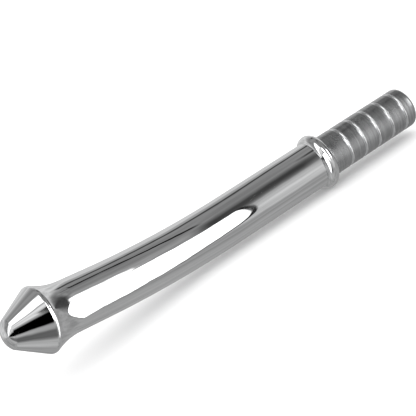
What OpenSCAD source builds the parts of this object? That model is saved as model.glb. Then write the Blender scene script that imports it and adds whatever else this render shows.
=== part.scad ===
// Polished hand wand: turned head, bent tube, ring collar and a grooved grip
// that screws onto a stud. Millimetres, +Z up. The origin is the centre of the
// butt face, +X points out of it along the grip's axis, and the head lies
// towards -X. The wand lies on its collar and belly, and its bend leans over
// towards -Y.

/* [Shaft] */
// Outside diameter of the shaft tube
shaft_d = 30; // [24:0.5:38]
// Wall of the shaft tube
shaft_wall = 2; // [1.5:0.25:3]
// Straight run behind the bend, from the collar
rear_run = 63; // [40:1:120]
// Bend radius, measured to the tube's axis
bend_r = 270; // [180:5:500]
// Angle of the bend
bend_angle = 20; // [5:1:30]
// How far the bend leans over from upright
bend_lean = 48; // [46:1:90]

/* [Head] */
// How far the rim stands above the shaft
rim_rise = 4.2; // [2:0.1:8]
// Rounding of the rim
rim_round = 2.8; // [0.8:0.1:4]
// Length of the hollow flare between rim and shaft diameter
neck_len = 18; // [12:0.5:30]
// Plain skirt of the head, from the flare back to the bend
skirt_len = 20.5; // [12:0.5:60]
// Length of the cone, from the rim to the nose edge
cone_len = 18.8; // [12:0.2:26]
// Diameter of the nose edge
nose_d = 17; // [12:0.5:20]
// Height of the shallow dome on the nose
nose_rise = 3.4; // [1:0.1:6]
// Wall left in the head, measured from the nose edge inwards
head_wall = 4; // [3:0.25:6]

/* [Collar] */
// How far the ring stands above the shaft
collar_rise = 3; // [1.5:0.1:5]
// Width of the ring
collar_w = 9; // [7:0.5:14]

/* [Grip] */
// Outside diameter of the grip
grip_d = 26.6; // [22:0.2:30]
// Length of the grip, from the collar to the butt face
grip_len = 67.5; // [60:0.5:110]
// Wall of the grip
grip_wall = 4; // [3:0.25:5]
// Number of turned grooves
groove_count = 5; // [3:1:7]
// Spacing of the grooves
groove_pitch = 11.3; // [8:0.1:12]
// Distance from the last groove to the butt face
last_land = 9.3; // [7:0.1:14]
// Width of a groove
groove_w = 2.4; // [1.6:0.1:3.6]
// Depth of a groove
groove_depth = 0.8; // [0.4:0.1:1.2]
// Rounding of the butt edge
butt_round = 3; // [1:0.25:3.5]

/* [Inner fittings] */
// Diameter of the tie stud
stud_d = 12; // [8:0.5:14]
// Length of stud held in the shaft bush
stud_hold = 16; // [12:1:24]
// Length of stud that reaches into the grip bush
stud_reach = 20; // [14:1:26]
// Length of the bush in the shaft
shaft_bush_len = 20; // [18:1:30]
// Length of the bush in the grip
grip_bush_len = 22; // [18:1:28]
// How far the lining sleeve reaches into the head, and into the tube
sleeve_reach = 5; // [4:0.5:8]
// Wall of the lining sleeve
sleeve_wall = 2; // [1:0.25:3]
// Section of the seal between collar and shaft
seal_section = 2; // [1.5:0.1:2.5]
// Length of the plug's spigot inside the grip
plug_spigot = 8; // [5:0.5:14]
// Thickness of the plug's visible head
plug_head = 3; // [2:0.25:5]

/* [Fits] */
// Gap all round between the stud and what moves on it
running_gap = 0.05; // [0.02:0.01:0.1]
// Gap all round between the lining sleeve and the bent tube
weld_gap = 0.2; // [0.15:0.05:0.4]
// Squeeze room left beside the seal in its groove
seal_room = 0.2; // [0.1:0.05:0.4]

/* [Hidden] */
$fn = 96;
// Extra length that lets a cutting shape run clear of a face
over = 1;

shaft_r = shaft_d / 2;
bore_r = shaft_r - shaft_wall;
grip_r = grip_d / 2;
grip_bore_r = grip_r - grip_wall;
stud_r = stud_d / 2;
loose_r = stud_r + running_gap;

// Stations along the grip's axis
grip_front_x = -grip_len;
shaft_end_x = grip_front_x - collar_w;
bend_x = shaft_end_x - rear_run;

// The rim: centre of its rounding, and the radius that it reaches
rim_r = shaft_r + rim_rise;
rim_mid_r = rim_r - rim_round;
// The flare is one arc, tangent to the shaft and to the rim's rounding
flare_rise = rim_mid_r - shaft_r;
flare_r = (neck_len * neck_len + flare_rise * flare_rise - rim_round * rim_round)
    / (2 * (flare_rise + rim_round));
flare_turn = atan2(neck_len, flare_r - flare_rise);
// The cone is tangent to the rim's rounding and ends on the nose edge
nose_r = nose_d / 2;
cone_fall = rim_mid_r - nose_r;
cone_turn = atan2(cone_fall, cone_len)
    + asin(rim_round / sqrt(cone_len * cone_len + cone_fall * cone_fall));
// The dome is a cap of a sphere
dome_r = (nose_r * nose_r + nose_rise * nose_rise) / (2 * nose_rise);

seal_mid_r = (loose_r + bore_r) / 2;
collar_r = shaft_r + collar_rise;
collar_mid_r = collar_r - collar_w / 2;
joint_back = neck_len + skirt_len;

polished = [0.86, 0.87, 0.88];
satin = [0.66, 0.67, 0.68];
machined = [0.74, 0.74, 0.72];
rubber_black = [0.08, 0.08, 0.09];

// Turns a shape made along +Z from the origin to run along -X
module along_wand() {
    rotate([0, -90, 0]) children();
}

// Leans what is made with its bend upright in the X-Z plane over towards -Y
module lean_over() {
    rotate([bend_lean, 0, 0]) children();
}

// Places what is made for the front end of the bend, with +Z running on from it
module at_bend_end() {
    lean_over() translate([
        bend_x - bend_r * sin(bend_angle), 0, bend_r * (1 - cos(bend_angle))
    ])
        rotate([0, bend_angle, 0]) along_wand() children();
}

// Places what is made for the rim, with +Z running on to the nose
module at_rim() {
    at_bend_end() translate([0, 0, joint_back]) children();
}

// The tube's section
module tube_section() {
    difference() {
        circle(r = shaft_r);
        circle(r = bore_r);
    }
}

// Half outline of the head, drawn as radius against distance from the rim
module head_outline() {
    difference() {
        polygon([
            [0, -joint_back],
            [shaft_r, -joint_back],
            [shaft_r, -neck_len],
            [rim_mid_r + rim_round * cos(flare_turn), -rim_round * sin(flare_turn)],
            [rim_mid_r, 0],
            [rim_mid_r + rim_round * cos(cone_turn), rim_round * sin(cone_turn)],
            [nose_r, cone_len],
            [0, cone_len]
        ]);
        translate([shaft_r + flare_r, -neck_len]) circle(r = flare_r, $fn = 360);
    }
    translate([rim_mid_r, 0]) circle(r = rim_round);
}

// The dome on the nose
module nose_dome() {
    intersection() {
        translate([0, 0, cone_len + nose_rise - dome_r]) sphere(r = dome_r);
        translate([0, 0, cone_len])
            cylinder(h = nose_rise + over, r = nose_r + over);
    }
}

// The room turned out of the head from behind: a bore and a cone
module head_room() {
    translate([0, 0, -joint_back - over])
        cylinder(h = joint_back + over, r = bore_r);
    cylinder(h = cone_len - head_wall, r1 = bore_r, r2 = nose_r - head_wall / 2);
}

module nose_cone() {
    color(polished) at_rim() difference() {
        union() {
            rotate_extrude() head_outline();
            nose_dome();
        }
        head_room();
    }
}

// Tight in the head's bore, and with room to spare in the bent tube
module neck_sleeve() {
    color(machined) at_bend_end() difference() {
        union() {
            cylinder(h = sleeve_reach, r = bore_r);
            translate([0, 0, -sleeve_reach])
                cylinder(h = sleeve_reach, r = bore_r - weld_gap);
        }
        translate([0, 0, -sleeve_reach - over])
            cylinder(h = 2 * (sleeve_reach + over), r = bore_r - sleeve_wall);
    }
}

// One tube: a straight run from the collar, then the bend
module shaft_tube() {
    color(polished) lean_over() {
        translate([shaft_end_x, 0, 0]) along_wand()
            linear_extrude(height = rear_run) tube_section();
        translate([bend_x, 0, bend_r])
            rotate([90, 0, 0])
                rotate_extrude(angle = bend_angle, start = 270 - bend_angle)
                    translate([bend_r, 0]) tube_section();
    }
}

module shaft_bush() {
    color(machined) translate([shaft_end_x, 0, 0]) along_wand() difference() {
        cylinder(h = shaft_bush_len, r = bore_r);
        translate([0, 0, -over]) cylinder(h = stud_hold + over, r = stud_r);
    }
}

module tie_stud() {
    color(machined) translate([grip_front_x + stud_reach, 0, 0]) along_wand()
        cylinder(h = stud_reach + collar_w + stud_hold, r = stud_r);
}

// A ring of round section, lying round the wand's axis
module round_ring(mid_r, section_r) {
    rotate_extrude() translate([mid_r, 0]) circle(r = section_r);
}

module collar_ring() {
    color(polished) translate([grip_front_x, 0, 0]) along_wand() difference() {
        union() {
            translate([0, 0, collar_w / 2]) round_ring(collar_mid_r, collar_w / 2);
            cylinder(h = collar_w, r = collar_mid_r);
        }
        translate([0, 0, -over]) cylinder(h = collar_w + 2 * over, r = loose_r);
        seal_groove();
    }
}

// The square groove in the collar's front face that holds the seal
module seal_groove() {
    groove_r = seal_section / 2 + seal_room;
    translate([0, 0, collar_w - seal_section]) difference() {
        cylinder(h = seal_section + over, r = seal_mid_r + groove_r);
        translate([0, 0, -over])
            cylinder(h = seal_section + 3 * over, r = seal_mid_r - groove_r);
    }
}

module collar_seal() {
    color(rubber_black)
        translate([shaft_end_x + seal_section / 2, 0, 0]) along_wand()
            round_ring(seal_mid_r, seal_section / 2);
}

// One turned groove: a ring of round section that cuts groove_depth deep
module groove_cut() {
    half = groove_w / 2;
    cut_r = (half * half + groove_depth * groove_depth) / (2 * groove_depth);
    round_ring(grip_r + cut_r - groove_depth, cut_r);
}

// The grip's outer bar, from the butt face, with its rear edge rounded
module grip_bar() {
    translate([0, 0, butt_round]) cylinder(h = grip_len - butt_round, r = grip_r);
    translate([0, 0, butt_round]) round_ring(grip_r - butt_round, butt_round);
    cylinder(h = butt_round, r = grip_r - butt_round);
}

module grip_sleeve() {
    color(satin) along_wand() difference() {
        grip_bar();
        for (i = [0 : groove_count - 1])
            translate([0, 0, last_land + i * groove_pitch]) groove_cut();
        translate([0, 0, -over])
            cylinder(h = grip_len + 2 * over, r = grip_bore_r);
    }
}

module grip_bush() {
    color(machined) translate([grip_front_x + grip_bush_len, 0, 0]) along_wand()
        difference() {
            cylinder(h = grip_bush_len, r = grip_bore_r);
            translate([0, 0, -over])
                cylinder(h = grip_bush_len + 2 * over, r = loose_r);
        }
}

module butt_plug() {
    color(satin) along_wand() difference() {
        cylinder(h = plug_head + plug_spigot, r = grip_bore_r);
        translate([0, 0, plug_head])
            cylinder(h = plug_spigot + over, r = grip_bore_r - plug_head);
    }
}

nose_cone();
neck_sleeve();
shaft_tube();
shaft_bush();
tie_stud();
collar_ring();
collar_seal();
grip_sleeve();
grip_bush();
butt_plug();
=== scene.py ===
import math

import bpy
from bpy.props import FloatProperty, FloatVectorProperty, IntProperty, PointerProperty
from mathutils import Matrix, Vector


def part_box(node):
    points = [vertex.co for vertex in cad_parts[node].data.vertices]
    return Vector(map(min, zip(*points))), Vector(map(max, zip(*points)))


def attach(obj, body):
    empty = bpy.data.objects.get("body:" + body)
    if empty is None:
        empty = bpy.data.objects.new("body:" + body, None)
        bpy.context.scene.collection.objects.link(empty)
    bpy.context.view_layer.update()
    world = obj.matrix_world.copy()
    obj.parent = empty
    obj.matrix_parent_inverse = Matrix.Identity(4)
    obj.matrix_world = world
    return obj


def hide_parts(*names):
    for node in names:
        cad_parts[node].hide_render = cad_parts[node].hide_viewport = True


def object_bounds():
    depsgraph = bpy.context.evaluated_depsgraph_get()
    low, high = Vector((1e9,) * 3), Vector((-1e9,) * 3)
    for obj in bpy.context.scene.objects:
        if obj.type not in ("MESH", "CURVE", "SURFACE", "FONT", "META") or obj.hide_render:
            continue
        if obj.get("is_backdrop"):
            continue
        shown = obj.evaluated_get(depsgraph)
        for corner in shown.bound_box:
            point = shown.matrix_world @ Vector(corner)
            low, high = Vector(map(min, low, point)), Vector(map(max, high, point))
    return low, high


bl_info = {
    "name": "Polished Hand Wand",
    "version": (1, 0, 0),
    "blender": (4, 5, 0),
    "location": "View3D > Sidebar > Wand",
    "description": "Builds a polished metal hand wand with a bent tube and a screw-on grip",
    "category": "Add Mesh",
}

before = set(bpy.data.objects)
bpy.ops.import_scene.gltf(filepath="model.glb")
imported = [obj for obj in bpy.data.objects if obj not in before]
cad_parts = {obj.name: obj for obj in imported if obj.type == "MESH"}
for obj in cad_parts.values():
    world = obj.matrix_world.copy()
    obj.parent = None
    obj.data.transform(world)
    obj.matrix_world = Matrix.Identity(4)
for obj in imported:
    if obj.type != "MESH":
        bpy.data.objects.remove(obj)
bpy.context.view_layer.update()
MM = 0.001
# Depth of a metric thread as a share of its pitch
THREAD_DEPTH = 0.6134
# Faces round a large turned piece, and round the tube
ROUND = 192

# Stations along the grip's axis, which runs from the butt face towards -X
GRIP_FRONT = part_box("grip_sleeve")[0].x
SHAFT_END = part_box("collar_ring")[0].x
# Radii, as half of each piece's height
GRIP_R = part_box("grip_sleeve")[1].z
GRIP_BORE_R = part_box("grip_bush")[1].z
COLLAR_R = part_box("collar_ring")[1].z
STUD_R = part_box("tie_stud")[1].z
SHAFT_BORE_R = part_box("shaft_bush")[1].z
# The tube's straight run lies lowest, so its underside gives the shaft's radius
SHAFT_R = -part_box("shaft_tube")[0].z


# ---------------------------------------------------------------- sizes and colours


class WandShape(bpy.types.PropertyGroup):
    """Sizes of the shaft and the head"""

    rear_run: FloatProperty(
        name="Straight Run", description="Straight part of the shaft behind the bend",
        default=63 * MM, unit="LENGTH",
    )
    bend_radius: FloatProperty(
        name="Bend Radius", description="Radius of the bend at the tube's axis",
        default=270 * MM, unit="LENGTH",
    )
    bend_angle: FloatProperty(
        name="Bend Angle", description="How far the bend turns",
        default=math.radians(20), subtype="ANGLE",
    )
    bend_lean: FloatProperty(
        name="Bend Lean", description="How far the bend leans over from upright",
        default=math.radians(48), subtype="ANGLE",
    )
    skirt: FloatProperty(
        name="Skirt", description="Plain part of the head behind the flare",
        default=20.5 * MM, unit="LENGTH",
    )
    neck: FloatProperty(
        name="Neck", description="Length of the flare between shaft and rim",
        default=18 * MM, unit="LENGTH",
    )
    rim_rise: FloatProperty(
        name="Rim Rise", description="How far the rim stands above the shaft",
        default=4.2 * MM, unit="LENGTH",
    )
    rim_round: FloatProperty(
        name="Rim Rounding", description="Radius of the rim's edge",
        default=2.8 * MM, unit="LENGTH",
    )
    cone: FloatProperty(
        name="Cone", description="Length of the cone from the rim to the nose edge",
        default=18.8 * MM, unit="LENGTH",
    )
    nose_radius: FloatProperty(
        name="Nose Radius", description="Radius of the nose edge",
        default=8.5 * MM, unit="LENGTH",
    )
    nose_rise: FloatProperty(
        name="Nose Rise", description="Height of the shallow dome on the nose",
        default=3.4 * MM, unit="LENGTH",
    )
    nose_soft: FloatProperty(
        name="Nose Edge Rounding", description="Radius that the nose edge is polished to",
        default=2.4 * MM, unit="LENGTH",
    )
    head_wall: FloatProperty(
        name="Head Wall", description="Wall left at the nose when the head is bored out",
        default=4 * MM, unit="LENGTH",
    )


class WandGrip(bpy.types.PropertyGroup):
    """Sizes of the grip, the collar and the stud"""

    grooves: IntProperty(
        name="Grooves", description="Number of turned grooves", default=5,
    )
    groove_pitch: FloatProperty(
        name="Groove Spacing", description="Distance between grooves",
        default=11.3 * MM, unit="LENGTH",
    )
    last_land: FloatProperty(
        name="Last Land", description="Distance from the butt face to the first groove",
        default=9.3 * MM, unit="LENGTH",
    )
    groove_width: FloatProperty(
        name="Groove Width", description="Width of a groove",
        default=2.4 * MM, unit="LENGTH",
    )
    groove_depth: FloatProperty(
        name="Groove Depth", description="Depth of a groove",
        default=0.8 * MM, unit="LENGTH",
    )
    shoulder: FloatProperty(
        name="Shoulder", description="Rounding of a groove's edges",
        default=0.25 * MM, unit="LENGTH",
    )
    butt_round: FloatProperty(
        name="Butt Rounding", description="Rounding of the free end's edge",
        default=3 * MM, unit="LENGTH",
    )
    plug_head: FloatProperty(
        name="Plug Head", description="Thickness of the plug in the free end",
        default=3 * MM, unit="LENGTH",
    )
    edge_soft: FloatProperty(
        name="Broken Edge", description="Rounding of edges that only need to be safe",
        default=0.3 * MM, unit="LENGTH",
    )
    running_gap: FloatProperty(
        name="Running Gap", description="Room left round the stud in the collar's bore",
        default=0.05 * MM, unit="LENGTH",
    )
    seal_room: FloatProperty(
        name="Seal Room", description="Room left round the seal in its groove",
        default=0.2 * MM, unit="LENGTH",
    )
    thread_pitch: FloatProperty(
        name="Thread Pitch", description="Advance of the stud's thread in one turn",
        default=1.75 * MM, unit="LENGTH",
    )


class WandFinish(bpy.types.PropertyGroup):
    """Colours and finishes"""

    polished: FloatVectorProperty(
        name="Polished Steel", description="Colour of the mirror-polished steel",
        default=(0.88, 0.885, 0.89), subtype="COLOR",
    )
    satin: FloatVectorProperty(
        name="Satin Steel", description="Colour of the fine-turned grip",
        default=(0.52, 0.525, 0.53), subtype="COLOR",
    )
    machined: FloatVectorProperty(
        name="Machined Steel", description="Colour of the inner fittings",
        default=(0.60, 0.60, 0.58), subtype="COLOR",
    )
    rubber: FloatVectorProperty(
        name="Seal Rubber", description="Colour of the O-ring",
        default=(0.02, 0.02, 0.022), subtype="COLOR",
    )
    floor: FloatVectorProperty(
        name="Floor", description="Colour of the studio floor",
        default=(0.93, 0.93, 0.93), subtype="COLOR",
    )


# ---------------------------------------------------------------- modelling


def arc(centre, radius, start, end, count):
    """Points on an arc in the outline's plane, with angles in degrees from +radius towards +distance."""
    points = []
    for i in range(count + 1):
        turn = math.radians(start + (end - start) * i / count)
        points.append((centre[0] + radius * math.cos(turn), centre[1] + radius * math.sin(turn)))
    return points


def softened(corners, steps=6):
    """An outline from corners (radius, distance) or (radius, distance, rounding)."""
    points = []
    last = len(corners) - 1
    for i, corner in enumerate(corners):
        if len(corner) == 2 or not 0 < i < last:
            points.append(corner[:2])
            continue
        here = Vector(corner[:2])
        back = (Vector(corners[i - 1][:2]) - here).normalized()
        on = (Vector(corners[i + 1][:2]) - here).normalized()
        half = back.angle(on) / 2
        reach = corner[2] / math.tan(half)
        centre = here + (back + on).normalized() * corner[2] / math.sin(half)
        first = here + back * reach - centre
        sweep = first.angle_signed(here + on * reach - centre)
        for k in range(steps + 1):
            spoke = first.copy()
            spoke.rotate(Matrix.Rotation(-sweep * k / steps, 2))
            points.append(tuple(centre + spoke))
    return points


def start_piece(name):
    """Names the object that an operator has just added, and puts its place in its mesh."""
    piece = bpy.context.object
    piece.name = piece.data.name = name
    bpy.ops.object.transform_apply(location=True, rotation=True, scale=True)
    return piece


def close_up():
    """Merges what meets in the mesh being edited and points its faces outwards."""
    bpy.ops.mesh.select_all(action="SELECT")
    bpy.ops.mesh.remove_doubles(threshold=0.5 * MM * MM)
    bpy.ops.mesh.normals_make_consistent(inside=False)


def draw_outline(name, outline):
    """Draws an outline of (radius, distance) points in the X-Z plane, and stays in edit mode."""
    bpy.ops.object.select_all(action="DESELECT")
    bpy.ops.mesh.primitive_plane_add(size=MM, location=(outline[0][0], 0, outline[0][1]))
    piece = start_piece(name)
    bpy.ops.object.mode_set(mode="EDIT")
    bpy.ops.mesh.select_all(action="SELECT")
    bpy.ops.mesh.merge(type="CENTER")
    for here, there in zip(outline, outline[1:]):
        step = (there[0] - here[0], 0, there[1] - here[1])
        bpy.ops.mesh.extrude_region_move(TRANSFORM_OT_translate={"value": step})
    return piece


def turned(name, outline, segments=ROUND):
    """Draws an outline and spins it about Z."""
    piece = draw_outline(name, outline)
    bpy.ops.mesh.select_all(action="SELECT")
    bpy.ops.mesh.spin(steps=segments, angle=2 * math.pi, center=(0, 0, 0), axis=(0, 0, 1))
    close_up()
    bpy.ops.object.mode_set(mode="OBJECT")
    return piece


def seat(piece, place):
    """Moves a finished piece to its place and leaves that place in its mesh."""
    bpy.ops.object.select_all(action="DESELECT")
    piece.select_set(True)
    bpy.context.view_layer.objects.active = piece
    piece.matrix_world = place
    bpy.ops.object.transform_apply(location=True, rotation=True, scale=True)
    bpy.ops.object.shade_smooth_by_angle(angle=math.radians(30))


def apply_modifier(piece, kind, **settings):
    """Adds a modifier to a piece and applies it."""
    modifier = piece.modifiers.new(kind.title(), kind)
    for name, value in settings.items():
        setattr(modifier, name, value)
    bpy.context.view_layer.objects.active = piece
    bpy.ops.object.modifier_apply(modifier=modifier.name)


def along_wand(x):
    """Where a turned piece stands at station x, with its Z running towards the head."""
    return Matrix.Translation((x, 0, 0)) @ Matrix.Rotation(-math.pi / 2, 4, "Y")


def at_bend_end(shape, further):
    """Where a turned piece stands on the axis beyond the bend."""
    turn = shape.bend_angle
    end = Vector((
        SHAFT_END - shape.rear_run - shape.bend_radius * math.sin(turn),
        0,
        shape.bend_radius * (1 - math.cos(turn)),
    ))
    return (
        Matrix.Rotation(shape.bend_lean, 4, "X")
        @ Matrix.Translation(end)
        @ Matrix.Rotation(turn - math.pi / 2, 4, "Y")
        @ Matrix.Translation((0, 0, further))
    )


def finish_piece(piece, material, body, slot, *nodes):
    """Gives a piece its material and its body, and hides the nodes it stands for. Its slot is not used.
    """
    piece.data.materials.clear()
    piece.data.materials.append(material)
    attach(piece, body)
    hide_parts(*nodes)


# ---------------------------------------------------------------- shared shader groups


def new_group(name, inputs, outputs):
    """A shader node group with float, vector or colour sockets, and its two end nodes."""
    group = bpy.data.node_groups.new(name, "ShaderNodeTree")
    for label, kind, default in inputs:
        socket = group.interface.new_socket(name=label, in_out="INPUT", socket_type=kind)
        if default is not None:
            socket.default_value = default
    for label, kind in outputs:
        group.interface.new_socket(name=label, in_out="OUTPUT", socket_type=kind)
    return group, group.nodes.new("NodeGroupInput"), group.nodes.new("NodeGroupOutput")


def put(tree, kind, **values):
    """Adds a node and sets its properties, or its inputs where a value's name is an input's."""
    node = tree.nodes.new(kind)
    for name, value in values.items():
        if hasattr(node, name):
            setattr(node, name, value)
        else:
            node.inputs[name.replace("_", " ")].default_value = value
    return node


def feed(tree, value, socket):
    """Gives an input a value of its own, or links it where the value is another node's output."""
    if isinstance(value, bpy.types.NodeSocket):
        tree.links.new(value, socket)
    else:
        socket.default_value = value


def math_node(tree, operation, *values):
    """Adds a Math node whose inputs are numbers or sockets, and returns its output."""
    node = put(tree, "ShaderNodeMath", operation=operation)
    for value, socket in zip(values, node.inputs):
        feed(tree, value, socket)
    return node.outputs[0]


def stretched(tree, vector, scale):
    """Scales a vector along each axis."""
    node = put(tree, "ShaderNodeMapping", vector_type="POINT")
    node.inputs["Scale"].default_value = scale
    tree.links.new(vector, node.inputs["Vector"])
    return node.outputs["Vector"]


def noise(tree, vector, scale, detail=3.0, roughness=0.5):
    """Adds a Noise texture and returns its value."""
    node = put(tree, "ShaderNodeTexNoise", Scale=scale, Detail=detail, Roughness=roughness)
    tree.links.new(vector, node.inputs["Vector"])
    return node.outputs[0]


def ramp(tree, value, low, high, out_low=0.0, out_high=1.0):
    """Maps a value from low..high to out_low..out_high, smoothly and clamped."""
    node = put(tree, "ShaderNodeMapRange", interpolation_type="SMOOTHSTEP")
    for i, number in enumerate((low, high, out_low, out_high), start=1):
        node.inputs[i].default_value = number
    tree.links.new(value, node.inputs[0])
    return node.outputs[0]


def make_turning_group():
    """Fine lines left round X by a turning tool or a polishing belt."""
    group, start, end = new_group(
        "turning_lines",
        [("Vector", "NodeSocketVector", None), ("Lines per Metre", "NodeSocketFloat", 2500.0)],
        [("Height", "NodeSocketFloat"), ("Patch", "NodeSocketFloat")],
    )
    scaled = put(group, "ShaderNodeVectorMath", operation="SCALE")
    group.links.new(start.outputs["Vector"], scaled.inputs[0])
    group.links.new(start.outputs["Lines per Metre"], scaled.inputs["Scale"])
    fine = noise(group, stretched(group, scaled.outputs[0], (1, 0.012, 0.012)), 1.0, 4.0, 0.65)
    broad = noise(group, stretched(group, scaled.outputs[0], (0.11, 0.02, 0.02)), 1.0, 2.0)
    height = math_node(group, "MULTIPLY_ADD", fine, 0.75, math_node(group, "MULTIPLY", broad, 0.25))
    group.links.new(height, end.inputs["Height"])
    group.links.new(ramp(group, broad, 0.35, 0.65), end.inputs["Patch"])
    return group


def make_handling_group():
    """Where hands have dulled a polish: soft smears and a few fine hairline marks."""
    group, start, end = new_group(
        "handling",
        [("Vector", "NodeSocketVector", None)],
        [("Smear", "NodeSocketFloat"), ("Hairline", "NodeSocketFloat")],
    )
    vector = start.outputs["Vector"]
    smear = noise(group, stretched(group, vector, (38, 60, 60)), 1.0, 5.0, 0.6)
    group.links.new(ramp(group, smear, 0.50, 0.72), end.inputs["Smear"])
    hair = noise(group, stretched(group, vector, (130, 2600, 2600)), 1.0, 2.0, 0.4)
    group.links.new(ramp(group, hair, 0.64, 0.74), end.inputs["Hairline"])
    return group


def make_wave_group():
    """The slow unevenness that hand polishing leaves in a surface."""
    group, start, end = new_group(
        "polishing_waves",
        [("Vector", "NodeSocketVector", None)],
        [("Height", "NodeSocketFloat")],
    )
    wave = noise(group, stretched(group, start.outputs["Vector"], (26, 55, 55)), 1.0, 3.0, 0.35)
    group.links.new(wave, end.inputs["Height"])
    return group


def make_edge_group():
    """Outer edges, found by pointiness: 1 along an outer edge. A material that brightens its colour by
    this mask paints a highlight there.
    """
    group, start, end = new_group("bright_edges", [], [("Edge", "NodeSocketFloat")])
    geometry = group.nodes.new("ShaderNodeNewGeometry")
    group.links.new(ramp(group, geometry.outputs["Pointiness"], 0.52, 0.60), end.inputs["Edge"])
    return group


def make_panel_group():
    """A soft-edged panel of the light tent, hung at one place round and along the wand."""
    group, start, end = new_group(
        "tent_panel",
        [
            ("Round", "NodeSocketFloat", 0.0), ("Along", "NodeSocketFloat", 0.0),
            ("Brightness", "NodeSocketFloat", 0.0), ("Level", "NodeSocketFloat", 1.0),
            ("Middle", "NodeSocketFloat", 0.0), ("Half Width", "NodeSocketFloat", 10.0),
            ("Soft", "NodeSocketFloat", 5.0), ("Slant", "NodeSocketFloat", 0.0),
            ("From", "NodeSocketFloat", -1.0), ("To", "NodeSocketFloat", 1.0),
            ("End Soft", "NodeSocketFloat", 0.1),
        ],
        [("Brightness", "NodeSocketFloat")],
    )
    socket = start.outputs

    def inside(value, reach, soft):
        """1 where a distance is under its reach, falling to 0 over the soft edge."""
        node = put(group, "ShaderNodeMapRange", interpolation_type="SMOOTHSTEP")
        group.links.new(value, node.inputs[0])
        group.links.new(math_node(group, "SUBTRACT", reach, soft), node.inputs[1])
        group.links.new(math_node(group, "ADD", reach, soft), node.inputs[2])
        node.inputs[3].default_value = 1.0
        node.inputs[4].default_value = 0.0
        return node.outputs[0]

    middle = math_node(
        group, "MULTIPLY_ADD", socket["Slant"],
        math_node(group, "SUBTRACT", socket["Along"], socket["From"]), socket["Middle"],
    )
    across = math_node(group, "ABSOLUTE", math_node(group, "SUBTRACT", socket["Round"], middle))
    half = math_node(group, "MULTIPLY", math_node(group, "SUBTRACT", socket["To"], socket["From"]), 0.5)
    centre = math_node(group, "ADD", socket["From"], half)
    length = math_node(group, "ABSOLUTE", math_node(group, "SUBTRACT", socket["Along"], centre))
    mask = math_node(
        group, "MULTIPLY", inside(across, socket["Half Width"], socket["Soft"]),
        inside(length, half, socket["End Soft"]),
    )
    step = math_node(group, "SUBTRACT", socket["Level"], socket["Brightness"])
    mixed = math_node(group, "MULTIPLY_ADD", mask, step, socket["Brightness"])
    group.links.new(mixed, end.inputs["Brightness"])
    return group


GROUP_MAKERS = {
    "turning_lines": make_turning_group,
    "handling": make_handling_group,
    "polishing_waves": make_wave_group,
    "bright_edges": make_edge_group,
    "tent_panel": make_panel_group,
}


def place_group(tree, name, vector=None, **values):
    """Places a shared group in a material, making it the first time. Values may be sockets."""
    node = tree.nodes.new("ShaderNodeGroup")
    node.node_tree = bpy.data.node_groups.get(name) or GROUP_MAKERS[name]()
    if vector is not None:
        values["Vector"] = vector
    for label, value in values.items():
        feed(tree, value, node.inputs[label.replace("_", " ")])
    return node.outputs


# ---------------------------------------------------------------- materials


def new_material(name, **constants):
    """A material with one Principled BSDF, whose constants are set on its own sockets."""
    material = bpy.data.materials.new(name)
    material.use_nodes = True
    tree = material.node_tree
    shader = tree.nodes["Principled BSDF"]
    for label, value in constants.items():
        shader.inputs[label.replace("_", " ")].default_value = value
    place = tree.nodes.new("ShaderNodeTexCoord").outputs["Object"]
    return material, tree, shader, place


def tint(tree, mask, colour, other):
    """Mixes a colour, plain or from another node, with a plain one by a mask."""
    node = put(tree, "ShaderNodeMix", data_type="RGBA")
    plain = not isinstance(colour, bpy.types.NodeSocket)
    feed(tree, mask, node.inputs["Factor"])
    feed(tree, (*colour, 1) if plain else colour, node.inputs[6])
    node.inputs[7].default_value = (*other, 1)
    return node.outputs[2]


def shade(colour, share):
    """A colour made darker or lighter."""
    return tuple(min(1.0, c * share) for c in colour)


def bump(tree, shader, height, distance):
    """Feeds a height to the shader's normal."""
    node = put(tree, "ShaderNodeBump", Strength=1.0, Distance=distance)
    tree.links.new(height, node.inputs["Height"])
    tree.links.new(node.outputs["Normal"], shader.inputs["Normal"])


def polished_steel():
    """Mirror-polished stainless steel with faint smears, hairlines and polishing waves."""
    found = bpy.data.materials.get("mirror_polish")
    if found:
        return found
    colour = bpy.context.scene.wand_finish.polished
    material, tree, shader, place = new_material("mirror_polish", Metallic=1.0, IOR=2.5)
    marks = place_group(tree, "handling", place)
    edge = place_group(tree, "bright_edges")["Edge"]
    waves = place_group(tree, "polishing_waves", place)["Height"]
    lines = place_group(tree, "turning_lines", place, Lines_per_Metre=3200.0)["Height"]
    rough = math_node(
        tree, "MULTIPLY_ADD", marks["Hairline"], 0.05, ramp(tree, marks["Smear"], 0, 1, 0.025, 0.07),
    )
    rough = math_node(tree, "MULTIPLY", rough, ramp(tree, edge, 0, 1, 1.0, 0.5))
    tree.links.new(rough, shader.inputs["Roughness"])
    tree.links.new(tint(tree, marks["Smear"], colour, shade(colour, 0.965)), shader.inputs["Base Color"])
    bump(tree, shader, math_node(tree, "MULTIPLY_ADD", lines, 0.001, waves), 0.45 * MM)
    return material


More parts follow.
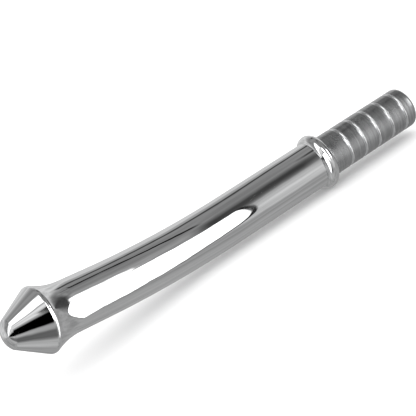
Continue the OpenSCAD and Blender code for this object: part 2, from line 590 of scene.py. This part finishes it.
def satin_steel():
    """Fine-turned satin steel, its lines running round the grip, with a painted highlight in its grooves
    and along its edges.
    """
    found = bpy.data.materials.get("turned_satin")
    if found:
        return found
    colour = bpy.context.scene.wand_finish.satin
    material, tree, shader, place = new_material(
        "turned_satin", Metallic=1.0, IOR=2.5, Anisotropic=0.65,
    )
    tangent = put(tree, "ShaderNodeTangent", direction_type="RADIAL", axis="X")
    tree.links.new(tangent.outputs["Tangent"], shader.inputs["Tangent"])
    turning = place_group(tree, "turning_lines", place, Lines_per_Metre=2800.0)
    smear = place_group(tree, "handling", place)["Smear"]
    grain = ramp(tree, turning["Height"], 0.35, 0.65)
    grained = tint(tree, grain, shade(colour, 0.80), shade(colour, 1.15))
    # Painted highlight: the grooves and the outer edges get a brighter colour than the lands, and less
    # roughness
    parts = tree.nodes.new("ShaderNodeSeparateXYZ")
    tree.links.new(place, parts.inputs[0])
    across = math_node(
        tree, "SQRT", math_node(
            tree, "MULTIPLY_ADD", parts.outputs["Y"], parts.outputs["Y"],
            math_node(tree, "MULTIPLY", parts.outputs["Z"], parts.outputs["Z"]),
        ),
    )
    groove = ramp(tree, across, GRIP_R - 0.35 * MM, GRIP_R - 0.05 * MM, 1.0, 0.0)
    groove = math_node(tree, "MULTIPLY", groove, ramp(tree, across, GRIP_BORE_R, GRIP_BORE_R + 0.2 * MM))
    edge = math_node(tree, "MAXIMUM", place_group(tree, "bright_edges")["Edge"], groove)
    rough = math_node(tree, "MULTIPLY_ADD", smear, 0.05, ramp(tree, turning["Patch"], 0, 1, 0.20, 0.27))
    rough = math_node(tree, "MULTIPLY", rough, ramp(tree, edge, 0, 1, 1.0, 0.8))
    tree.links.new(rough, shader.inputs["Roughness"])
    # Painted highlight: colour brightened in the grooves and along the outer edges
    tree.links.new(tint(tree, edge, grained, shade(colour, 1.5)), shader.inputs["Base Color"])
    bump(tree, shader, turning["Height"], 0.018 * MM)
    return material


def machined_steel():
    """Bright turned steel with visible tool lines and a painted highlight along its edges, for the inner
    fittings.
    """
    found = bpy.data.materials.get("tool_turned")
    if found:
        return found
    colour = bpy.context.scene.wand_finish.machined
    material, tree, shader, place = new_material("tool_turned", Metallic=1.0, IOR=2.5)
    turning = place_group(tree, "turning_lines", place, Lines_per_Metre=1700.0)
    edge = place_group(tree, "bright_edges")["Edge"]
    tree.links.new(ramp(tree, turning["Patch"], 0, 1, 0.24, 0.36), shader.inputs["Roughness"])
    grain = ramp(tree, turning["Height"], 0.3, 0.7)
    grained = tint(tree, grain, shade(colour, 0.82), shade(colour, 1.1))
    # Painted highlight: the colour is brightened along the outer edges
    tree.links.new(tint(tree, edge, grained, shade(colour, 1.4)), shader.inputs["Base Color"])
    bump(tree, shader, turning["Height"], 0.03 * MM)
    return material


def seal_rubber():
    """Matt black rubber with a faint moulding bloom."""
    found = bpy.data.materials.get("seal_compound")
    if found:
        return found
    colour = bpy.context.scene.wand_finish.rubber
    material, tree, shader, place = new_material("seal_compound", IOR=1.5, Sheen_Weight=0.1)
    bloom = noise(tree, place, 900.0, 4.0)
    tree.links.new(ramp(tree, bloom, 0.3, 0.7, 0.55, 0.75), shader.inputs["Roughness"])
    dusty = tint(tree, ramp(tree, bloom, 0.4, 0.7), colour, shade(colour, 1.9))
    tree.links.new(dusty, shader.inputs["Base Color"])
    bump(tree, shader, bloom, 0.02 * MM)
    return material


# ---------------------------------------------------------------- pieces


class WAND_OT_head(bpy.types.Operator):
    """Turn the head: nose, cone, rim, flared neck and skirt, bored out from behind"""

    bl_idname = "wand.head"
    bl_label = "Head"
    bl_options = {"REGISTER", "UNDO"}

    def execute(self, context):
        shape = context.scene.wand_shape
        rim_mid = SHAFT_R + shape.rim_rise - shape.rim_round
        rise = rim_mid - SHAFT_R
        # The flare is one arc, tangent to the skirt and to the rim's rounding
        flare = (shape.neck ** 2 + rise ** 2 - shape.rim_round ** 2) / (2 * (rise + shape.rim_round))
        flare_turn = math.degrees(math.atan2(shape.neck, flare - rise))
        # The cone is tangent to the rim's rounding too
        fall = rim_mid - shape.nose_radius
        cone_turn = math.degrees(
            math.atan2(fall, shape.cone) + math.asin(shape.rim_round / math.hypot(shape.cone, fall))
        )
        dome = (shape.nose_radius ** 2 + shape.nose_rise ** 2) / (2 * shape.nose_rise)
        dome_turn = math.degrees(math.asin(shape.nose_radius / dome))
        back = -shape.neck - shape.skirt
        room_end = shape.cone - shape.head_wall
        outside = arc((SHAFT_R + flare, -shape.neck), flare, 180, 180 - flare_turn, 48)
        outside += arc((rim_mid, 0), shape.rim_round, -flare_turn, cone_turn, 24)
        cap = arc((0, shape.cone + shape.nose_rise - dome), dome, 90 - dome_turn, 90, 24)
        cap[-1] = (0, cap[-1][1])
        # The dome's next two points make way for the rounding of the nose edge
        nose = [(*cap[0], shape.nose_soft), *cap[3:]]
        room = [
            (0, room_end), (shape.nose_radius - shape.head_wall / 2, room_end),
            (SHAFT_BORE_R, 0), (SHAFT_BORE_R, back),
        ]
        outline = softened(
            [(SHAFT_BORE_R, back), (SHAFT_R, back), (SHAFT_R, back + MM)] + outside + nose + room,
            steps=10,
        )
        head = turned("head", outline)
        seat(head, at_bend_end(shape, shape.skirt + shape.neck))
        finish_piece(head, polished_steel(), "wand", "polished_steel", "nose_cone")
        return {"FINISHED"}


class WAND_OT_shaft(bpy.types.Operator):
    """Draw the tube: a straight run from the collar, spun on through the bend"""

    bl_idname = "wand.shaft"
    bl_label = "Shaft"
    bl_options = {"REGISTER", "UNDO"}

    def execute(self, context):
        shape = context.scene.wand_shape
        bpy.ops.object.select_all(action="DESELECT")
        bpy.ops.mesh.primitive_circle_add(
            vertices=ROUND, radius=SHAFT_R, location=(SHAFT_END, 0, 0), rotation=(0, math.pi / 2, 0),
        )
        shaft = start_piece("shaft")
        bpy.ops.object.mode_set(mode="EDIT")
        bpy.ops.mesh.select_all(action="SELECT")
        for run in (MM, shape.rear_run - 2 * MM, MM):
            bpy.ops.mesh.extrude_region_move(TRANSFORM_OT_translate={"value": (-run, 0, 0)})
        # The bend's centre stands beside the straight run's end, leaned over with the bend
        side = Vector((0, -math.sin(shape.bend_lean), math.cos(shape.bend_lean)))
        centre = Vector((SHAFT_END - shape.rear_run, 0, 0)) + side * shape.bend_radius
        bpy.ops.mesh.spin(
            steps=96, angle=shape.bend_angle, center=centre, axis=Vector((1, 0, 0)).cross(side),
        )
        close_up()
        bpy.ops.object.mode_set(mode="OBJECT")
        apply_modifier(
            shaft, "SOLIDIFY", thickness=SHAFT_R - SHAFT_BORE_R, offset=-1.0, use_even_offset=True,
        )
        seat(shaft, Matrix.Identity(4))
        finish_piece(shaft, polished_steel(), "wand", "polished_steel", "shaft_tube")
        return {"FINISHED"}


class WAND_OT_stud(bpy.types.Operator):
    """Cut the stud's thread, one turn of outline screwed along its length"""

    bl_idname = "wand.stud"
    bl_label = "Threaded Stud"
    bl_options = {"REGISTER", "UNDO"}

    def execute(self, context):
        pitch = context.scene.wand_grip.thread_pitch
        low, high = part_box("tie_stud")
        length = high.x - low.x
        root_r = STUD_R - THREAD_DEPTH * pitch
        # One turn: a flat root a quarter of the pitch wide and a crest of an eighth
        turn = [
            (root_r, -pitch), (root_r, -3 * pitch / 4), (STUD_R, -7 * pitch / 16),
            (STUD_R, -5 * pitch / 16), (root_r, 0),
        ]
        stud = draw_outline("threaded_stud", turn)
        bpy.ops.object.mode_set(mode="OBJECT")
        apply_modifier(
            stud, "SCREW", axis="Z", angle=2 * math.pi, screw_offset=pitch,
            iterations=math.ceil(length / pitch) + 2, steps=64, render_steps=64,
            use_merge_vertices=True, merge_threshold=0.5 * MM * MM,
        )
        bpy.ops.object.mode_set(mode="EDIT")
        close_up()
        for cut, clear_inner, clear_outer in ((0, True, False), (length, False, True)):
            bpy.ops.mesh.select_all(action="SELECT")
            bpy.ops.mesh.bisect(
                plane_co=(0, 0, cut), plane_no=(0, 0, 1), use_fill=True,
                clear_inner=clear_inner, clear_outer=clear_outer,
            )
        close_up()
        bpy.ops.object.mode_set(mode="OBJECT")
        seat(stud, along_wand(high.x))
        finish_piece(stud, machined_steel(), "wand", "machined_steel", "tie_stud")
        return {"FINISHED"}


class WAND_OT_collar(bpy.types.Operator):
    """Turn the half-round collar ring, with its bore and the groove for the seal"""

    bl_idname = "wand.collar"
    bl_label = "Collar"
    bl_options = {"REGISTER", "UNDO"}

    def execute(self, context):
        soft = context.scene.wand_grip.edge_soft
        room = context.scene.wand_grip.seal_room
        width = GRIP_FRONT - SHAFT_END
        bead = width / 2
        bore = STUD_R + context.scene.wand_grip.running_gap
        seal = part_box("collar_seal")
        section = seal[1].x - seal[0].x
        seal_out = seal[1].z + room
        seal_in = seal_out - section - 2 * room
        floor = width - section
        outline = softened(
            [(bore, bead), (bore, 0, soft), (COLLAR_R - bead, 0)]
            + arc((COLLAR_R - bead, bead), bead, -90, 90, 56)[1:-1]
            + [
                (COLLAR_R - bead, width), (seal_out, width, soft / 2), (seal_out, floor),
                (seal_in, floor), (seal_in, width, soft / 2), (bore, width, soft), (bore, bead),
            ],
        )
        collar = turned("collar", outline)
        seat(collar, along_wand(GRIP_FRONT))
        finish_piece(collar, polished_steel(), "collar", "polished_steel", "collar_ring")
        return {"FINISHED"}


class WAND_OT_grip(bpy.types.Operator):
    """Turn the grip: its rounded butt, its grooves and the lands between them"""

    bl_idname = "wand.grip"
    bl_label = "Grip"
    bl_options = {"REGISTER", "UNDO"}

    def execute(self, context):
        grip = context.scene.wand_grip
        length = -GRIP_FRONT
        half = grip.groove_width / 2
        cut_r = (half ** 2 + grip.groove_depth ** 2) / (2 * grip.groove_depth)
        cut_turn = math.degrees(math.asin(half / cut_r))
        corners = [
            (GRIP_BORE_R, grip.plug_head), (GRIP_BORE_R, 0, grip.edge_soft),
            (GRIP_R, 0, grip.butt_round),
        ]
        for i in range(grip.grooves):
            middle = grip.last_land + i * grip.groove_pitch
            corners.append((GRIP_R, middle - half - 2 * grip.shoulder))
            corners.append((GRIP_R, middle - half, grip.shoulder))
            corners += arc(
                (GRIP_R + cut_r - grip.groove_depth, middle), cut_r, 180 + cut_turn, 180 - cut_turn, 12,
            )[1:-1]
            corners.append((GRIP_R, middle + half, grip.shoulder))
            corners.append((GRIP_R, middle + half + 2 * grip.shoulder))
        corners += [
            (GRIP_R, length, 2 * grip.edge_soft), (GRIP_BORE_R, length), (GRIP_BORE_R, grip.plug_head),
        ]
        sleeve = turned("grip", softened(corners), segments=160)
        seat(sleeve, along_wand(0))
        finish_piece(sleeve, satin_steel(), "grip", "satin_steel", "grip_sleeve")
        return {"FINISHED"}


class WAND_OT_plug(bpy.types.Operator):
    """Turn the plug that closes the grip's free end, with its broken edge"""

    bl_idname = "wand.plug"
    bl_label = "Butt Plug"
    bl_options = {"REGISTER", "UNDO"}

    def execute(self, context):
        grip = context.scene.wand_grip
        length = -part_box("butt_plug")[0].x
        inner = GRIP_BORE_R - grip.plug_head
        outline = softened([
            (0, 0), (GRIP_BORE_R, 0, grip.edge_soft), (GRIP_BORE_R, length, grip.edge_soft),
            (inner, length), (inner, grip.plug_head), (0, grip.plug_head),
        ])
        plug = turned("butt_plug_cap", outline, segments=128)
        seat(plug, along_wand(0))
        finish_piece(plug, satin_steel(), "grip", "satin_steel", "butt_plug")
        return {"FINISHED"}


class WAND_OT_fittings(bpy.types.Operator):
    """Give the fittings that keep their own shape their materials"""

    bl_idname = "wand.fittings"
    bl_label = "Inner Fittings"
    bl_options = {"REGISTER", "UNDO"}

    def execute(self, context):
        finishes = {
            "neck_sleeve": machined_steel, "shaft_bush": machined_steel,
            "grip_bush": machined_steel, "collar_seal": seal_rubber,
        }
        for node, finish in finishes.items():
            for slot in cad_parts[node].material_slots:
                slot.material = finish()
        return {"FINISHED"}


# ---------------------------------------------------------------- stage


# The camera's place, its turn in degrees about X, Y and Z, and its lens and sensor in mm
CAMERA_PLACE = (-0.304, -0.4617, 0.1925)
CAMERA_TURN = (67.73, 24.30, -28.03)
LENS = 76.15
SENSOR = 36.0
# The floor, the even light all round and the soft lamp overhead
FLOOR_SIZE = 12
ROOM_LIGHT = 1.45
LAMP_PLACE = (-0.2, -0.5, 1.3)
LAMP_AIM = (0.15, 0, 0)
LAMP_WIDTH = 1.2
LAMP_WATTS = 2.0
# The tent's radius and the grey of its cloth
TENT_R = 3.0
TENT_GREY = 0.34
# The card in front of the bend: its size, distance, two ends and top
CARD_SIZE = 0.3
CARD_AWAY = 0.11
CARD_FRONT = -0.235
CARD_REAR = -0.098
CARD_TOP = 0.085
# Its slanted lower edge: its height at the rear end, and its outward way (rearwards, down)
CARD_LOW = -0.028
CARD_OUT = (0.84, 0.55)
# How far its corners are rounded, the width of its dark border, and the brightness of both
CARD_ROUND = 0.02
CARD_BORDER = 0.005
CARD_GLOW = 1.7
BORDER_GLOW = 0.02

# What hangs in the tent: brightness, then the middle, half width and softness in
# degrees round the wand, from overhead towards the front, then where it begins and
# ends along the wand, from -1 past the head to 1 past the butt, its end's softness
# and how many degrees it slants from one end to the other
PANELS = {
    "back_wall": (0.62, -78, 28, 10, -1.2, 1.2, 0.1, 0),
    "overhead": (0.25, -8, 30, 8, -1.2, 1.2, 0.1, 0),
    "overhead_edge": (0.12, -2, 2.5, 2, 0.46, 0.78, 0.03, -24),
    "rear_slot": (0.05, -30, 5, 3, 0.28, 0.64, 0.05, -16),
    "front_wall": (0.58, 98, 26, 14, 0.10, 0.84, 0.06, 0),
    "boom_shade": (0.05, 41, 18, 13, 0.10, 0.46, 0.05, 0),
    "overhead_slot": (0.0, 9, 4.5, 2, 0.43, 0.61, 0.02, -30),
    "far_wall": (0.06, 40, 62, 34, 0.84, 1.3, 0.06, 0),
    "groove_light": (3.6, 60, 26, 10, -0.07, 0.24, 0.03, 0),
    "groove_sheet": (3.0, 64, 24, 8, 0.66, 0.85, 0.03, 0),
    "head_sheet": (1.5, 12, 16, 3, -1.2, -0.10, 0.05, 0),
    "head_low_sheet": (0.75, 39, 9, 4, -1.2, -0.25, 0.03, 0),
    "head_line": (0.30, 28, 1.4, 1.2, -1.2, -0.18, 0.03, 0),
    "head_card": (0.0, 73, 17, 3, -1.2, -0.08, 0.05, 0),
    "head_card_end": (0.0, 56, 15, 3, -0.305, -0.08, 0.015, 0),
    "head_glint": (0.45, 98, 5, 3, -1.2, -0.10, 0.05, 0),
    "head_shade": (0.14, 124, 15, 7, -1.2, -0.10, 0.05, 0),
    "head_floor": (0.43, 166, 18, 7, -1.2, -0.10, 0.05, 0),
}


def new_glow(name):
    """A material with an Emission shader that isn't linked to its output yet."""
    material = bpy.data.materials.new(name)
    material.use_nodes = True
    tree = material.node_tree
    tree.nodes.clear()
    place = tree.nodes.new("ShaderNodeTexCoord").outputs["Object"]
    glow = tree.nodes.new("ShaderNodeEmission")
    return material, tree, place, glow, tree.nodes.new("ShaderNodeOutputMaterial")


def show_in_polish_only(thing):
    """Leaves a stage object to be seen in reflections and nowhere else."""
    thing.visible_camera = False
    thing.visible_diffuse = False
    thing.visible_shadow = False


def tent_brightness(tree, place):
    """The tent's brightness round the wand: grey cloth with its panels hung on it."""
    parts = tree.nodes.new("ShaderNodeSeparateXYZ")
    tree.links.new(place, parts.inputs[0])
    front = math_node(tree, "MULTIPLY", parts.outputs["Y"], -1.0)
    turn = math_node(tree, "DEGREES", math_node(tree, "ARCTAN2", front, parts.outputs["Z"]))
    along = math_node(tree, "DIVIDE", parts.outputs["X"], TENT_R)
    brightness = TENT_GREY
    for level, middle, half, soft, start, end, end_soft, slant in PANELS.values():
        brightness = place_group(
            tree, "tent_panel", Round=turn, Along=along, Brightness=brightness, Level=level,
            Middle=middle, Half_Width=half, Soft=soft, Slant=slant / (end - start),
            From=start, To=end, End_Soft=end_soft,
        )["Brightness"]
    # Creases and shadows in the tent's cloth
    cloth = noise(tree, stretched(tree, place, (0.9, 1.6, 1.6)), 1.0, 3.0, 0.55)
    return math_node(tree, "MULTIPLY", brightness, ramp(tree, cloth, 0.3, 0.7, 0.80, 1.20))


class WAND_OT_stage(bpy.types.Operator):
    """Set out the pale floor, the soft lights, the light tent and the camera"""

    bl_idname = "wand.stage"
    bl_label = "Studio Stage"
    bl_options = {"REGISTER", "UNDO"}

    def execute(self, context):
        low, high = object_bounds()
        middle = (Vector(low) + Vector(high)) / 2
        self.lay_floor(context.scene.wand_finish.floor, middle.x, low[2])
        self.hang_tent(middle)
        self.hang_card()
        self.light(context)
        bpy.ops.object.camera_add(
            location=CAMERA_PLACE, rotation=[math.radians(turn) for turn in CAMERA_TURN],
        )
        camera = context.object
        camera.data.lens = LENS
        camera.data.sensor_width = SENSOR
        context.scene.camera = camera
        return {"FINISHED"}

    def lay_floor(self, colour, x, z):
        """A plain pale floor, left out of the polish, which has its own light."""
        bpy.ops.mesh.primitive_plane_add(size=FLOOR_SIZE, location=(x, 0, z))
        floor = start_piece("studio_floor")
        material, tree, shader, place = new_material(
            "studio_floor", Roughness=0.9, Specular_IOR_Level=0.1,
        )
        patch = ramp(tree, noise(tree, place, 3.0), 0.3, 0.7)
        tree.links.new(tint(tree, patch, colour, shade(colour, 0.985)), shader.inputs["Base Color"])
        floor.data.materials.append(material)
        floor.visible_glossy = False
        floor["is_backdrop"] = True

    def hang_tent(self, middle):
        """A light tent round everything, seen only in the polish."""
        bpy.ops.mesh.primitive_uv_sphere_add(
            segments=64, ring_count=32, radius=TENT_R, location=middle,
        )
        tent = bpy.context.object
        tent.name = "light_tent"
        material, tree, place, glow, output = new_glow("light_tent")
        tree.links.new(tent_brightness(tree, place), glow.inputs["Color"])
        tree.links.new(glow.outputs[0], output.inputs["Surface"])
        tent.data.materials.append(material)
        show_in_polish_only(tent)
        tent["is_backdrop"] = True

    def hang_card(self):
        """A bright card close in front of the bend, seen only in the polish."""
        bpy.ops.object.select_all(action="DESELECT")
        bpy.ops.mesh.primitive_plane_add(
            size=CARD_SIZE, location=(CARD_FRONT + CARD_SIZE / 2, -CARD_AWAY, 0),
            rotation=(math.pi / 2, 0, 0),
        )
        card = start_piece("light_card")
        material, tree, place, glow, output = new_glow("light_card")
        parts = tree.nodes.new("ShaderNodeSeparateXYZ")
        tree.links.new(place, parts.inputs[0])
        x, z = parts.outputs["X"], parts.outputs["Z"]
        # How far a point is outside the card's rear edge, its slanted lower edge and its top
        rear = math_node(tree, "SUBTRACT", x, CARD_REAR)
        rise = math_node(tree, "MULTIPLY", math_node(tree, "SUBTRACT", z, CARD_LOW), CARD_OUT[1])
        low = math_node(tree, "SUBTRACT", math_node(tree, "MULTIPLY", rear, CARD_OUT[0]), rise)
        top = math_node(tree, "SUBTRACT", z, CARD_TOP)
        outside = math_node(tree, "SMOOTH_MAX", rear, low, CARD_ROUND)
        outside = math_node(tree, "SMOOTH_MAX", outside, top, CARD_ROUND / 2)
        tree.links.new(ramp(tree, outside, -MM, MM, CARD_GLOW, BORDER_GLOW), glow.inputs["Color"])
        clear = tree.nodes.new("ShaderNodeBsdfTransparent")
        mix = tree.nodes.new("ShaderNodeMixShader")
        tree.links.new(ramp(tree, outside, CARD_BORDER, CARD_BORDER + 2 * MM), mix.inputs[0])
        tree.links.new(glow.outputs[0], mix.inputs[1])
        tree.links.new(clear.outputs[0], mix.inputs[2])
        tree.links.new(mix.outputs[0], output.inputs["Surface"])
        card.data.materials.append(material)
        show_in_polish_only(card)
        card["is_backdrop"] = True

    def light(self, context):
        """Even light all round, and a soft lamp that the polish doesn't show."""
        world = bpy.data.worlds.new("studio_world")
        world.use_nodes = True
        world.node_tree.nodes["Background"].inputs["Color"].default_value = (1, 1, 1, 1)
        world.node_tree.nodes["Background"].inputs["Strength"].default_value = ROOM_LIGHT
        context.scene.world = world
        bpy.ops.object.light_add(type="AREA", location=LAMP_PLACE)
        lamp = context.object
        lamp.name = "soft_light"
        lamp.data.shape = "DISK"
        lamp.data.size = LAMP_WIDTH
        lamp.data.energy = LAMP_WATTS
        lamp.visible_glossy = False
        aim = Vector(LAMP_AIM) - lamp.location
        lamp.rotation_euler = aim.to_track_quat("-Z", "Y").to_euler()
        context.scene.view_settings.view_transform = "Standard"


# ---------------------------------------------------------------- panel and registration


class WAND_PT_parts(bpy.types.Panel):
    """Lists the wand's pieces and sizes"""

    bl_label = "Hand Wand"
    bl_idname = "WAND_PT_parts"
    bl_space_type = "VIEW_3D"
    bl_region_type = "UI"
    bl_category = "Wand"

    def draw(self, context):
        for operator in BUILD_ORDER:
            self.layout.operator(operator.bl_idname)
        for group in (context.scene.wand_shape, context.scene.wand_grip, context.scene.wand_finish):
            box = self.layout.box()
            for name in group.__annotations__:
                box.prop(group, name)


BUILD_ORDER = (
    WAND_OT_head,
    WAND_OT_shaft,
    WAND_OT_stud,
    WAND_OT_collar,
    WAND_OT_grip,
    WAND_OT_plug,
    WAND_OT_fittings,
    WAND_OT_stage,
)
CLASSES = (WandShape, WandGrip, WandFinish, *BUILD_ORDER, WAND_PT_parts)


def register():
    for cls in CLASSES:
        bpy.utils.register_class(cls)
    bpy.types.Scene.wand_shape = PointerProperty(type=WandShape)
    bpy.types.Scene.wand_grip = PointerProperty(type=WandGrip)
    bpy.types.Scene.wand_finish = PointerProperty(type=WandFinish)


def unregister():
    del bpy.types.Scene.wand_finish
    del bpy.types.Scene.wand_grip
    del bpy.types.Scene.wand_shape
    for cls in reversed(CLASSES):
        bpy.utils.unregister_class(cls)


def main():
    register()
    for operator in BUILD_ORDER:
        group, name = operator.bl_idname.split(".")
        getattr(getattr(bpy.ops, group), name)()


if __name__ == "__main__":
    main()
